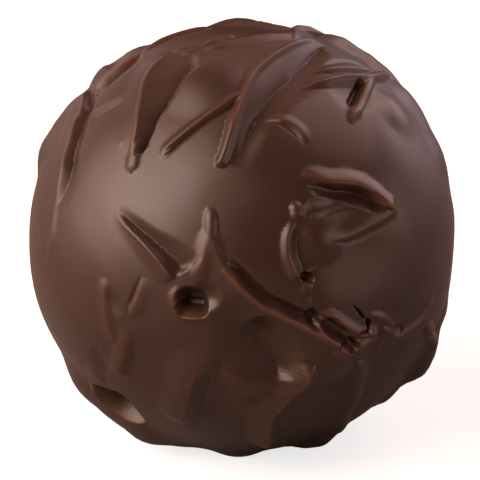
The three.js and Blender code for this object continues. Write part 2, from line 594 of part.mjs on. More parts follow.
// Whether the ends of an edge lie on opposite sides of a line and clear of it
function crosses(edge, ends, length) {
  const [one, other] = ends.map((p) => {
    const near = closest(edge.line, p);
    const side = Math.sign(p.clone().sub(near.spot).dot(edge.across[near.i]));
    return { side, gap: near.distance };
  });
  return one.side * other.side < 0 && Math.min(one.gap, other.gap) > clearShare * length;
}

// Middle of the edge between two directions, slid onto a sharp line that it crosses near its middle
function slideToEdge(one, other, lines) {
  const middle = onBall(one.clone().add(other));
  const ends = [one, other].map((direction) => onBall(direction.clone()));
  const length = ends[0].distanceTo(ends[1]);
  const best = { distance: crestReach * length, spot: middle };
  for (const edge of lines) {
    if (middle.distanceTo(edge.middle) > edge.span + best.distance) continue;
    const near = closest(edge.line, middle);
    if (near.distance < best.distance && crosses(edge, ends, length)) Object.assign(best, near);
  }
  return best.spot.clone().normalize();
}

// Every edge of a mesh once, and the three edges of each of its triangles
function edgesOf({ points, faces }, all) {
  const edges = new Map();
  const edgeBetween = (a, b) => {
    const key = a < b ? `${a} ${b}` : `${b} ${a}`;
    if (!edges.has(key)) {
      const length = points[a].place.distanceTo(points[b].place);
      const halved = all || length > edgeSlack * (points[a].edge + points[b].edge) / 2;
      edges.set(key, { a, b, length, halved });
    }
    return edges.get(key);
  };
  const sides = faces.map((face) => face.map((a, k) => edgeBetween(a, face[(k + 1) % 3])));
  return { edges, sides };
}

// Halves the longest edge too of each triangle of which an edge is halved
function spread(sides) {
  const longest = sides.map((three) => three.reduce((a, b) => (b.length > a.length ? b : a)));
  let spreading = true;
  while (spreading) {
    spreading = false;
    sides.forEach((three, i) => {
      if (longest[i].halved || !three.some((e) => e.halved)) return;
      longest[i].halved = true;
      spreading = true;
    });
  }
}

// Cuts a triangle at the new points on its sides
function cutFace(face, sides, points) {
  const cuts = sides.filter((e) => e.halved).length;
  if (cuts === 0) return [face];
  // Turned so that the last side is whole, if any is, and the first is cut
  let k = 0;
  if (cuts === 1) k = sides.findIndex((e) => e.halved);
  if (cuts === 2) k = (sides.findIndex((e) => !e.halved) + 1) % 3;
  const [a, b, c] = [face[k], face[(k + 1) % 3], face[(k + 2) % 3]];
  const [ab, bc, ca] = [sides[k].point, sides[(k + 1) % 3].point, sides[(k + 2) % 3].point];
  if (cuts === 1) return [[a, ab, c], [ab, b, c]];
  if (cuts === 3) return [[a, ab, ca], [ab, b, bc], [ca, bc, c], [ab, bc, ca]];
  const between = (one, other) => points[one].place.distanceTo(points[other].place);
  const shorter = between(ab, c) <= between(a, bc);
  return shorter
    ? [[ab, b, bc], [a, ab, c], [ab, bc, c]]
    : [[ab, b, bc], [a, ab, bc], [a, bc, c]];
}

// Halves the edges that are too long, or all of them, and says whether there were any
function refine(mesh, strokes, lines, all) {
  const { edges, sides } = edgesOf(mesh, all);
  spread(sides);
  const halved = [...edges.values()].filter((e) => e.halved);
  for (const e of halved) {
    const middle = slideToEdge(mesh.points[e.a].direction, mesh.points[e.b].direction, all ? [] : lines);
    e.point = mesh.points.push(coatAt(middle, strokes)) - 1;
  }
  mesh.faces = mesh.faces.flatMap((face, i) => cutFace(face, sides[i], mesh.points));
  return halved.length > 0;
}

// The icosahedron that the coat starts from
function firstMesh(strokes) {
  const solid = new THREE.IcosahedronGeometry(1, 0).getAttribute('position');
  const points = [];
  const faces = [];
  for (let i = 0; i < solid.count; i += 3) {
    faces.push([0, 1, 2].map((k) => {
      const direction = new THREE.Vector3().fromBufferAttribute(solid, i + k).normalize();
      const found = points.findIndex((q) => q.direction.distanceTo(direction) < samePlace);
      return found >= 0 ? found : points.push(coatAt(direction, strokes)) - 1;
    }));
  }
  return { points, faces };
}

// The coat as one closed mesh, refined until it follows every stroke
function coatMesh(strokes) {
  const mesh = firstMesh(strokes);
  const lines = strokes.flatMap(sharpLines);
  let round = 0;
  while (round < lastRound && refine(mesh, strokes, lines, round < firstRounds)) round += 1;
  const geometry = new THREE.BufferGeometry();
  geometry.setAttribute('position', new THREE.Float32BufferAttribute(
    mesh.points.flatMap((q) => q.place.toArray()), 3));
  geometry.setIndex(mesh.faces.flat());
  geometry.computeVertexNormals();
  return geometry;
}

// Every stroke laid out on the ball, the swells first because the others lie on them
function allStrokes() {
  const plans = [
    ...frontStrokes().map((plan) => [seenAt, plan]),
    ...backStrokes().map((plan) => [roundAt, plan]),
  ];
  const isSwell = ([, plan]) => plan.kind === 'swell';
  const swells = plans.filter(isSwell).map(([place, plan]) => layOut(place, [], plan));
  const others = plans.filter((both) => !isSwell(both)).map(([place, plan]) => layOut(place, swells, plan));
  return [...swells, ...others];
}

const chocolate = new THREE.MeshStandardMaterial({ color: chocolateColour, roughness: chocolateRoughness });
const praline = new THREE.Mesh(coatMesh(allStrokes()), chocolate);
praline.name = 'praline';

const part = new THREE.Group();
part.add(praline);

export default part;
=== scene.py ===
"""Dark chocolate praline, hand dipped: one coat with folds, laid out on the front view of the photograph."""
import math
from itertools import combinations

import bpy
import numpy as np
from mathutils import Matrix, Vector


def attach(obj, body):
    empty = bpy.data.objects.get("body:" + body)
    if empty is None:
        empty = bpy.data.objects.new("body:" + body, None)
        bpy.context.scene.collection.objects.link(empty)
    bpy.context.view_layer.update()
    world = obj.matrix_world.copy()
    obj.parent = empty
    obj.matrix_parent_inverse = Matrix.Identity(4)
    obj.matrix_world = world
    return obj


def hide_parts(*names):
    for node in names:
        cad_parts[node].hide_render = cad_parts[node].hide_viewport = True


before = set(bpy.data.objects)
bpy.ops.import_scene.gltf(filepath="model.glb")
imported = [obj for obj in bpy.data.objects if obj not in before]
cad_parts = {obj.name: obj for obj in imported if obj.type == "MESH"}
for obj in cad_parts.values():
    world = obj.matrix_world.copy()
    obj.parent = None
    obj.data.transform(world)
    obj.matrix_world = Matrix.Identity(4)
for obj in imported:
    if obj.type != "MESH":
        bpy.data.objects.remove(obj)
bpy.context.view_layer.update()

METRE = 1000.0  # millimetres; all sizes of the praline are in millimetres

# Ball and foot
BALL_RADIUS = 14.5
FOOT_RADIUS = 4.5  # where the ball would meet the table if nothing rounded the foot's edge
FOOT_ROUNDING = 0.2  # height over the table within which the coat rounds into the flat foot
BALL_HEIGHT = math.sqrt(BALL_RADIUS ** 2 - FOOT_RADIUS ** 2)
BALL_MIDDLE = Vector((0, 0, BALL_HEIGHT / METRE))

# The front view on which the folds are laid out, in points of the photograph
VIEW_WIDTH = 480
VIEW_SCALE = 14.7  # points to a millimetre
VIEW_MIDDLE = (242.0, 238.0)  # where the ball's middle is
VIEW_TILT = math.radians(20)
VIEW_DISTANCE = 300.0
VIEW_RIGHT = np.array([1.0, 0.0, 0.0])
VIEW_UP = np.array([0.0, math.sin(VIEW_TILT), math.cos(VIEW_TILT)])
VIEW_TOWARDS = np.array([0.0, -math.cos(VIEW_TILT), math.sin(VIEW_TILT)])

# Ways of the relief
UNION_POWER = 4.0  # how sharply folds that cross run into each other
PATH_STEPS = 5  # pieces of line between two points of a path
NARROW_END = 0.35  # share of its width that a stroke has at its very end
LIP_WIDTH = 0.34  # of the thin rolled edge along some crests
CREST_ROUNDING = 0.12  # how round the very top of a crest is
PAINTED_GLOW_WIDTH = 0.28  # distance from a crest within which its colour is painted lighter, a painted glow in place of light shining through it
PLAIN_PAINTED_GLOW = 0.25  # how strong the painted glow of a plain crest is: lighter colour painted in place of light shining through it
VALLEY_LIFT = -0.5  # share of its depth at which a valley's path is seen
VALLEY_SHARP = 0.8  # how sharp the bottom of a plain valley is
FOOT_SHARP = 0.7  # how sharp the foot of a steep side is towards the rise beyond it
PLAIN_REACH = 0.7  # length of that rise as a share of the steep side's width
# Slow unevenness of the whole coat: heights, each with two waves that have turns along x, y, z and a start
RIPPLES = (
    (0.05, (5.1, 2.3, 0.0, 0.7), (-1.9, 0.0, 4.3, 1.1)),
    (0.03, (0.0, 9.7, 3.1, 2.0), (8.3, 0.0, -2.7, 0.0)),
    (0.012, (21.0, 0.0, 5.0, 0.4), (0.0, -7.0, 19.0, 1.3)),
)

# Mesh
FINE_EDGE = 0.1  # edge along a sharp line of the front
BACK_EDGE_SHARE = 1.6  # how much longer edges are along strokes laid out in degrees round the ball
SWELL_EDGE = 0.3  # edge in the middle of a swell as a share of its width
COARSE_EDGE = 0.45  # edge on plain ground
REACH_EDGE = 0.18  # edge where the ground comes up again beyond the foot of a steep side
BLUNT_EDGE = 0.2  # edge along a stroke without a sharp line as a share of its width
EDGE_GROWTH = 0.25  # how much longer an edge may be for each millimetre away from a stroke
SHARP_FINE_SHARE = 0.1  # share of a sharp stroke's width over which its edges are as short as on its line
BLUNT_FINE_SHARE = 0.3  # the same for a stroke without a sharp line
FIRST_ROUNDS = 4  # rounds in which every edge is halved
MOST_ROUNDS = 14
EDGE_SLACK = 1.35  # an edge is halved when it is this many times too long
CREST_REACH = 0.3  # a new point slides to a sharp line that is this share of its edge away
CLEAR_SHARE = 0.12  # an edge's ends count as on a line within this share of its length
SHARP_ENOUGH = 0.55  # how sharp a stroke has to be for points to slide onto its line
SEEN_SHARE = 0.15  # share of its height from which a stroke's foot is an edge
NORMAL_STEP = 0.012  # distance between the spots that give the coat's slope
NEAR_POLE = 0.9  # how far up or down a direction has to point to count as near a pole
TINY = 1e-12  # keeps a division by a length from failing

# Chocolate: the colour of its body, a lighter colour painted on thin crests as a painted glow of light
# shining through them, its gloss and its grain
CHOCOLATE = (0.039, 0.0200, 0.0142)
# painted glow: lighter colour put on crests in place of light shining through them
PAINTED_EDGE_GLOW = (0.120, 0.044, 0.023)
REFRACTION = 1.45
ROUGHNESS = (0.30, 0.40)  # in the glossiest and in the dullest patches
PATCH_NOISE = (220.0, 3.0, 0.55)  # scale, detail and roughness
PATCH_RANGE = (0.3, 0.7)  # values of that noise between which the gloss changes
GRAIN_NOISE = (1400.0, 4.0, 0.6)
GRAIN_STRENGTH = 0.16
GRAIN_DEPTH = 0.00006  # metres

# Paper: a bright white for the camera, and the dim colour in which it throws light back
PAPER = (0.42, 0.43, 0.44)
PAPER_ROUGHNESS = 0.9
PAPER_BRIGHTNESS = 0.76
DIM_PAPER = (0.26, 0.24, 0.23)
FLOOR_SIZE = 4.0  # metres

# Studio, in metres and watts
LIGHT_DISTANCE = 0.34
ROOM_COLOUR = (1.0, 0.93, 0.90)
ROOM_BRIGHTNESS = 0.002

# Camera
SENSOR_WIDTH = 36.0  # millimetres
NEAREST_SEEN = 0.01  # metres


def unit(v):
    """The vectors v, each with the length 1."""
    return v / np.linalg.norm(v, axis=-1, keepdims=True)


def seen_at(x, y, lift):
    """Direction from the ball's middle to what the front view shows at x, y, if it stands lift proud."""
    across = (x - VIEW_MIDDLE[0]) / VIEW_SCALE
    up = (VIEW_MIDDLE[1] - y) / VIEW_SCALE
    off = max(math.hypot(across, up), TINY)
    radius = BALL_RADIUS + lift
    limb = math.asin(radius / VIEW_DISTANCE)
    rim = VIEW_DISTANCE * math.tan(limb)
    sight = math.atan2(off, VIEW_DISTANCE)
    if off < rim:
        turn = math.asin(VIEW_DISTANCE * math.sin(sight) / radius) - sight
    else:
        turn = math.pi / 2 - limb + (off - rim) / BALL_RADIUS
    side = (across * VIEW_RIGHT + up * VIEW_UP) / off
    return math.cos(turn) * VIEW_TOWARDS + math.sin(turn) * side


def round_at(turn, rise, _lift):
    """Direction so many degrees to the right of the front and above the ball's waist, at any lift."""
    a, b = math.radians(turn), math.radians(rise)
    return np.array([math.sin(a) * math.cos(b), -math.cos(a) * math.cos(b), math.sin(b)])


def smooth_line(points):
    """Catmull-Rom line through points on the ball."""
    if len(points) == 1:
        return points
    p = np.vstack([2 * points[0] - points[1], points, 2 * points[-1] - points[-2]])
    out = []
    for a, b, c, d in zip(p, p[1:], p[2:], p[3:]):
        for k in range(PATH_STEPS):
            t = k / PATH_STEPS
            out.append(0.5 * (2 * b + (c - a) * t + (2 * a - 5 * b + 4 * c - d) * t ** 2
                              + (3 * b - a - 3 * c + d) * t ** 3))
    out.append(points[-1])
    return unit(np.array(out)) * BALL_RADIUS


def ease_out(t):
    """0 to 1, level at the end."""
    t = np.clip(t, 0, 1)
    return t * (2 - t)


def grown(run, fade):
    """Share of its height that a stroke has reached after a run; with no fade its end is round."""
    return ease_out(run / fade) if fade else np.ones(len(run))


def height_shares(points, fade):
    """Share of a stroke's height at each point, from the lengths over which it grows and dies away."""
    if len(points) == 1:
        return np.ones(1)
    run = np.concatenate([[0], np.cumsum(np.linalg.norm(np.diff(points, axis=0), axis=1))])
    return grown(run, fade[0]) * grown(run[-1] - run, fade[1])


def swell_at(p, ground):
    """How far the swells lift the spots on the ball that strokes are laid over."""
    lift = np.zeros(len(p))
    for s in ground:
        _, gap, _, share, _, width = s.nearest(p)
        lift += s.height * share * flank(gap / width, 0.0)
    return lift


def all_strokes():
    """The strokes of the front view and of the back, swells first because the others lie on them."""
    plans = [(seen_at, plan) for plan in front_strokes()] + [(round_at, plan) for plan in back_strokes()]
    swells = [Stroke(place, [], **plan) for place, plan in plans if plan['kind'] == 'swell']
    return swells + [Stroke(place, swells, **plan) for place, plan in plans if plan['kind'] != 'swell']


def closest(line, p):
    """Where the points p are nearest to a line: segment, share of that segment, spot and distance."""
    start = line[:-1] if len(line) > 1 else line
    along = np.diff(line, axis=0) if len(line) > 1 else np.zeros((1, 3))
    length2 = np.maximum((along ** 2).sum(1), TINY)
    dot = p @ along.T - (start * along).sum(1)
    t = np.clip(dot / length2, 0, 1)
    gap2 = (p ** 2).sum(1)[:, None] + (start ** 2).sum(1) - 2 * (p @ start.T) - 2 * t * dot + t * t * length2
    i = gap2.argmin(1)
    t = t[np.arange(len(p)), i]
    spot = start[i] + t[:, None] * along[i]
    return i, t, spot, np.linalg.norm(p - spot, axis=1)


class Stroke:
    """A fold, a valley or a swell that follows a smooth line on the ball.

    Left and right are its widths on either side for someone who walks along it, or lists of widths from its
    start to its end. Sharp is 1 for a thin crest and 0 for a round back. The side named by steep falls to a
    foot that lies dip deep, straight or, with a curve above 1, more steeply near the crest, and the ground
    beyond the foot comes up over reach times its width. Fade is the length over which it grows at its start
    and dies away at its end; with no fade its end is round. Lean tips its crest sideways, tip rounds it, lip
    is the height of a thin rolled edge along it, and the last argument is how strongly a lighter colour is
    painted along its crest, a painted glow in place of light shining through it."""

    def __init__(self, place, ground, path, height, left, right, kind='ridge', sharp=1.0,
                 tip=CREST_ROUNDING, lean=0.0, lip=0.0, fade=(1.0, 1.0), steep='', dip=0.0,
                 reach=PLAIN_REACH, curve=1.0, glow=PLAIN_PAINTED_GLOW):
        self.kind, self.height = kind, height
        self.sharp, self.tip, self.lean, self.lip, self.glow = sharp, tip, lean, lip, glow
        self.steep, self.dip, self.reach, self.curve = steep, dip, reach, curve
        self.in_view = place is seen_at
        lift = {'ridge': height, 'hollow': VALLEY_LIFT * height, 'swell': 0.0}[kind]
        flat = np.array([place(*spot, 0.0) for spot in path]) * BALL_RADIUS
        lifts = lift * height_shares(flat, fade) + swell_at(flat, ground)
        self.line = smooth_line(np.array([place(*spot, up) for spot, up in zip(path, lifts)]) * BALL_RADIUS)
        self.share = height_shares(self.line, fade)
        self.left, self.right = (self.widths(side) for side in (left, right))
        ahead = np.roll(self.line, -1, axis=0)
        behind = np.roll(self.line, 1, axis=0)
        ahead[-1], behind[0] = self.line[-1], self.line[0]
        self.across = np.zeros_like(self.line)
        if len(self.line) > 1:
            self.across = np.cross(unit(ahead - behind), self.line / BALL_RADIUS)
        self.fine_share = SHARP_FINE_SHARE if self.is_sharp() else BLUNT_FINE_SHARE
        self.middle = unit(self.line.mean(0)) * BALL_RADIUS
        self.span = np.linalg.norm(self.line - self.middle, axis=1).max()

    def is_sharp(self):
        return self.kind != 'swell' and (self.sharp >= SHARP_ENOUGH or bool(self.steep))

    def own_edge(self):
        """Length of the edges along the stroke."""
        if self.kind == 'swell':
            return SWELL_EDGE * max(self.left.max(), self.right.max())
        fine = FINE_EDGE * (1.0 if self.in_view else BACK_EDGE_SHARE)
        if self.is_sharp():
            return fine
        return max(fine, BLUNT_EDGE * min(self.left.max(), self.right.max()))

    def widths(self, side):
        """A width for each point of the line, from a list spread along it or narrowing at its ends."""
        if isinstance(side, tuple):
            return np.interp(np.linspace(0, 1, len(self.line)), np.linspace(0, 1, len(side)), side)
        return side * (NARROW_END + (1 - NARROW_END) * self.share)

    def profile(self, gap, on_right, width):
        """Height over the ball at a distance from the line, where the stroke has its full height."""
        u = (np.hypot(gap, self.tip) - self.tip) / width
        plain = self.height * flank(u, self.sharp)
        if not self.steep:
            return plain
        fall = (self.height + self.dip) * np.clip(1 - u, 0, 1) ** self.curve - self.dip
        foot = -self.dip * flank((u - 1) / self.reach, FOOT_SHARP)
        return np.where(on_right == (self.steep == 'right'), np.where(u < 1, fall, foot), plain)

    def close(self, p, reach):
        """Which points lie within reach of the stroke."""
        return np.nonzero(((p - self.middle) ** 2).sum(1) < (self.span + reach) ** 2)[0]

    def nearest(self, p):
        """For each point of p the nearest spot on the line, its distance, whether p lies to the right, and
        the height share, way across and width at that spot."""
        i, t, spot, gap = closest(self.line, p)
        after = np.minimum(i + 1, len(self.line) - 1)
        across = self.across[i] * (1 - t[:, None]) + self.across[after] * t[:, None]
        on_right = ((p - spot) * across).sum(1) >= 0
        share, left, right = (v[i] * (1 - t) + v[after] * t for v in (self.share, self.left, self.right))
        return spot, gap, on_right, share, across, np.where(on_right, right, left)

    def sharp_lines(self):
        """The lines along which the coat has an edge, a sharp crest or valley and the foot of a steep side,
        each with the ways across it."""
        if self.is_sharp():
            yield self.line, self.across
        if self.steep:
            out = self.right if self.steep == 'right' else -self.left
            foot = unit(self.line + out[:, None] * self.across) * BALL_RADIUS
            seen = self.share > SEEN_SHARE
            yield foot[seen], self.across[seen]


def flank(u, sharp):
    """Share of a stroke's height at share u of its width, for a thin crest or a round back."""
    u = np.clip(u, 0, 1)
    return (1 - sharp) * (1 - u * u) ** 2 + sharp * (1 - u) ** 2 * (1 + 0.5 * u)


def ripple(d):
    """How far the ripples lift the coat in the directions d."""
    def wave(turns):
        return np.sin(d @ np.array(turns[:3]) + turns[3])
    return sum(height * wave(one) * wave(other) for height, one, other in RIPPLES)


def rest_on_table(z):
    """Flattens what would reach below the table, with a small rounding."""
    k = FOOT_ROUNDING
    return np.where(z > k, z, np.where(z < -k, 0.0, (z + k) ** 2 / (4 * k)))


def coat_at(directions, strokes):
    """Where the coat lies in each direction, how strong the painted glow on its crests is (a lighter colour
    painted in place of light shining through), and how long an edge may be.
    """
    p = directions * BALL_RADIUS
    swells = ripple(directions)
    folds = np.zeros(len(p))
    valleys = np.zeros(len(p))
    lean = np.zeros((len(p), 3))
    # crest holds the share of the painted glow: lighter colour painted along crests in place of light
    # shining through them
    crest = np.zeros(len(p))
    edge = np.full(len(p), COARSE_EDGE)
    for s in strokes:
        widest = max(s.left.max(), s.right.max())
        own = s.own_edge()
        rows = s.close(p, widest * (1 + s.reach) + max(0.0, (COARSE_EDGE - own) / EDGE_GROWTH))
        if not len(rows):
            continue
        _, gap, on_right, share, across, width = s.nearest(p[rows])
        rise = share * s.profile(gap, on_right, width)
        if s.kind == 'swell':
            swells[rows] += rise
        elif s.kind == 'hollow':
            valleys[rows] += rise ** UNION_POWER
        else:
            height = np.maximum(rise, 0)
            folds[rows] += height ** UNION_POWER
            valleys[rows] += np.maximum(-rise, 0) ** UNION_POWER
            lean[rows] += (height ** (UNION_POWER + 1) * s.lean / s.height)[:, None] * across
            swells[rows] += s.lip * share * flank(gap / LIP_WIDTH, 0.0)
            # painted glow: colour painted lighter near the crest, in place of light shining through it
            crest[rows] = np.maximum(crest[rows], s.glow * share * np.clip(1 - gap / PAINTED_GLOW_WIDTH, 0, 1))
        off = gap - s.fine_share * width
        if s.steep:
            beyond = np.maximum(0, gap - width * (1 + s.reach)) + (REACH_EDGE - own) / EDGE_GROWTH
            foot = np.minimum(abs(gap - width), beyond)
            off = np.where(on_right == (s.steep == 'right'), np.minimum(off, foot), off)
        edge[rows] = np.minimum(edge[rows], own + EDGE_GROWTH * np.maximum(0, off))
    lean /= (folds + TINY)[:, None]
    rise = swells + folds ** (1 / UNION_POWER) - valleys ** (1 / UNION_POWER)
    places = directions * (BALL_RADIUS + rise)[:, None] + lean
    places[:, 2] = rest_on_table(places[:, 2] + BALL_HEIGHT)
    return places, crest, edge


def coat_normals(directions, strokes):
    """Way out of the coat at each direction, from its slope."""
    helper = np.where(np.abs(directions[:, 2:]) < NEAR_POLE, [[0.0, 0.0, 1.0]], [[1.0, 0.0, 0.0]])
    east = unit(np.cross(helper, directions))
    north = np.cross(directions, east)
    step = NORMAL_STEP / BALL_RADIUS
    slopes = []
    for way in (east, north):
        ahead = coat_at(unit(directions + step * way), strokes)[0]
        behind = coat_at(unit(directions - step * way), strokes)[0]
        slopes.append(ahead - behind)
    normals = np.cross(slopes[0], slopes[1])
    length = np.linalg.norm(normals, axis=1, keepdims=True)
    flat = length[:, 0] < TINY
    normals[flat] = (0.0, 0.0, -1.0)
    length[flat] = 1.0
    return normals / length


def side_of(line, across, p):
    """On which side of a line the points p lie, -1 or 1, and how far from it."""
    i, _, spot, gap = closest(line, p)
    return np.sign(((p - spot) * across[i]).sum(1)), gap


def slide_to_edges(one, other, lines):
    """Middles of edges, slid onto a sharp line where the edge crosses one near its middle."""
    middle = unit(one + other) * BALL_RADIUS
    length = BALL_RADIUS * np.linalg.norm(one - other, axis=1)
    best = CREST_REACH * length
    out = middle.copy()
    for line, across in lines:
        heart = unit(line.mean(0)) * BALL_RADIUS
        span = np.linalg.norm(line - heart, axis=1).max() + best.max()
        rows = np.nonzero(((middle - heart) ** 2).sum(1) < span ** 2)[0]
        if not len(rows):
            continue
        _, _, spot, gap = closest(line, middle[rows])
        near = gap < best[rows]
        rows, spot, gap = rows[near], spot[near], gap[near]
        if not len(rows):
            continue
        sides = [side_of(line, across, end[rows] * BALL_RADIUS) for end in (one, other)]
        apart = sides[0][0] * sides[1][0] < 0
        clear = np.minimum(sides[0][1], sides[1][1]) > CLEAR_SHARE * length[rows]
        hit = apart & clear
        best[rows[hit]] = gap[hit]
        out[rows[hit]] = spot[hit]
    return unit(out)


def icosahedron():
    """Corners and faces of the icosahedron that the coat starts from."""
    golden = (1 + math.sqrt(5)) / 2
    v = np.array([(a, b * golden, 0) for b in (1, -1) for a in (-1, 1)])
    v = np.vstack([v, np.roll(v, 1, axis=1), np.roll(v, 2, axis=1)])
    joined = np.isclose(np.linalg.norm(v[:, None] - v[None], axis=2), 2)
    faces = [(i, j, k) for i, j, k in combinations(range(len(v)), 3)
             if joined[i, j] and joined[j, k] and joined[i, k]]
    outward = [f if np.linalg.det(v[list(f)]) > 0 else (f[0], f[2], f[1]) for f in faces]
    return unit(v), np.array(outward)


def edges_of(faces):
    """Every edge once, and which edges each triangle has."""
    pairs = np.sort(np.vstack([faces[:, [0, 1]], faces[:, [1, 2]], faces[:, [2, 0]]]), axis=1)
    key = pairs[:, 0] * (pairs.max() + 1) + pairs[:, 1]
    _, first, inverse = np.unique(key, return_index=True, return_inverse=True)
    return pairs[first], inverse.reshape(3, -1).T


def cut_faces(places, faces, sides, new):
    """Cuts each triangle at the new points on its edges; new is -1 for an edge that stays whole."""
    cuts = new[sides]
    a, b, c = faces.T
    ab, bc, ca = cuts.T
    every = (cuts >= 0).all(1)
    out = [faces[(cuts < 0).all(1)]]
    out += [np.stack(t, 1)[every] for t in ((a, ab, ca), (ab, b, bc), (ca, bc, c), (ab, bc, ca))]
    for k in range(3):
        a, b, c = np.roll(faces, -k, axis=1).T
        ab, bc, ca = np.roll(cuts, -k, axis=1).T
        one = (ab >= 0) & (bc < 0) & (ca < 0)
        out += [np.stack(t, 1)[one] for t in ((a, ab, c), (ab, b, c))]
        two = (ab >= 0) & (bc >= 0) & (ca < 0)
        to_c = np.linalg.norm(places[ab] - places[c], axis=1)
        to_a = np.linalg.norm(places[a] - places[bc], axis=1)
        from_c = to_c <= to_a
        out += [np.stack((ab, b, bc), 1)[two]]
        out += [np.stack(t, 1)[two & from_c] for t in ((a, ab, c), (ab, bc, c))]
        out += [np.stack(t, 1)[two & ~from_c] for t in ((a, ab, bc), (a, bc, c))]
    return np.vstack(out)


def coat_mesh(strokes):
    """Halves an icosahedron's edges until each is as short as the relief at its ends asks for."""
    lines = [(line, across) for stroke in strokes for line, across in stroke.sharp_lines() if len(line) > 1]
    directions, faces = icosahedron()
    places, crest, edge = coat_at(directions, strokes)
    for number in range(MOST_ROUNDS):
        ends, sides = edges_of(faces)
        length = np.linalg.norm(places[ends[:, 0]] - places[ends[:, 1]], axis=1)
        first = number < FIRST_ROUNDS
        halved = first | (length > EDGE_SLACK * 0.5 * (edge[ends[:, 0]] + edge[ends[:, 1]]))
        if not halved.any():
            break
        longest = sides[np.arange(len(faces)), length[sides].argmax(1)]
        while True:
            more = halved[sides].any(1) & ~halved[longest]
            if not more.any():
                break
            halved[longest[more]] = True
        one, other = directions[ends[halved]].transpose(1, 0, 2)
        middle = unit(one + other) if first else slide_to_edges(one, other, lines)
        new = np.full(len(ends), -1)
        new[halved] = len(directions) + np.arange(halved.sum())
        more_places, more_crest, more_edge = coat_at(middle, strokes)
        directions = np.vstack([directions, middle])
        places = np.vstack([places, more_places])
        crest = np.concatenate([crest, more_crest])
        edge = np.concatenate([edge, more_edge])
        faces = cut_faces(places, faces, sides, new)
    return directions, faces, places, crest


# Plans of strokes; the name of each is only for whoever reads the lists
def ridge(_name, path, height, left, right, **more):
    return {'kind': 'ridge', 'path': path, 'height': height, 'left': left, 'right': right, **more}


def hollow(_name, path, depth, left, right, **more):
    return {'kind': 'hollow', 'path': path, 'height': depth, 'left': left, 'right': right,
            'sharp': VALLEY_SHARP, **more}


def swell(_name, path, height, width):
    return {'kind': 'swell', 'path': path, 'height': height, 'left': width, 'right': width, 'sharp': 0.0}


def left_side():
    return [
        ridge('left fold', [(87, 92), (82, 104), (75, 118), (69, 134), (63, 152), (60, 170), (57, 188),
              (55, 206)], 0.22, (0.2, 0.26, 0.32, 0.38, 0.4, 0.3), 1.6, fade=(1.8, 2.6), sharp=0.3,
              steep='left', dip=0.42, reach=4.5),
        ridge('left fold tail', [(57, 186), (54, 208), (51, 238), (48, 265)], 0.1, 0.5, 0.9,
              fade=(2.5, 3.0)),
        ridge('rim roll', [(140, 54), (124, 63), (110, 74), (99, 84), (90, 94)], 0.14, 0.26, 0.7,
              fade=(1.8, 0.8), sharp=0.3, steep='left', dip=0.4, reach=6.0, glow=0.9),
        ridge('left branch', [(134, 92), (118, 98), (103, 106), (88, 116)], 0.07, 0.5, 0.22,
              fade=(1.5, 1.0), steep='left', dip=0.06, reach=2.0, glow=0.5),
    ]


def upper_left():
    return [
        ridge('second fold', [(174, 52), (160, 60), (150, 71), (144, 84), (141, 98), (138, 112),
              (136, 127), (133, 142), (130, 156)], 0.2, (1.8, 2.5, 2.5, 2.1, 1.5, 0.95, 0.7, 0.5), 1.8,
              fade=(1.8, 1.2), sharp=0.6, lip=0.06, steep='left', dip=0.65, reach=0.45, curve=0.75),
        ridge('second fold end', [(137, 136), (134, 149), (131, 163)], 0.24, 0.5, 0.62, fade=(1.5, 0.0),
              sharp=0.2),
        ridge('third fold', [(243, 91), (226, 102), (208, 114), (190, 127), (174, 140), (160, 155)], 0.22,
              0.3, 0.5, fade=(1.5, 0.8), steep='left', dip=0.1),
        ridge('third fold end', [(174, 142), (164, 152)], 0.14, 0.5, 0.34, fade=(1.0, 0.0), sharp=0.2),
        ridge('short fold', [(236, 104), (232, 120), (228, 137), (223, 154), (218, 168)], 0.4, 0.42, 0.34,
              fade=(2.0, 0.4), sharp=0.35),
    ]


def long_crest():
    return [
        ridge('long crest', [(326, 38), (312, 38), (297, 42), (281, 50), (267, 60), (256, 71), (249, 83),
              (244, 96), (239, 111), (234, 128), (229, 145), (223, 163)], 0.32,
              (0.3, 0.7, 1.2, 1.6, 1.6, 1.4, 1.15, 0.9, 0.75, 0.6), 0.5, fade=(4.0, 4.5), lip=0.16,
              steep='left', dip=0.66, reach=1.6, curve=0.85, glow=0.45),
    ]


def top():
    return [
        ridge('top edge', [(172, 52), (188, 50), (204, 47)], 0.16, 0.7, 0.5, fade=(0.9, 0.9)),
        ridge('top blob', [(202, 46), (210, 40), (220, 36), (228, 34)], 0.2, 0.5, 0.5, fade=(1.2, 0.0),
              sharp=0.2),
        ridge('top rim', [(206, 51), (224, 43), (240, 38), (256, 35), (272, 33), (290, 32), (308, 32)],
              0.24, 0.8, 0.9, fade=(1.5, 1.2)),
        ridge('middle fin', [(264, 117), (278, 118), (291, 122), (301, 130), (308, 143)], 0.16, 0.6, 0.32,
              fade=(2.2, 1.4), sharp=0.5, steep='right', dip=0.12),
    ]


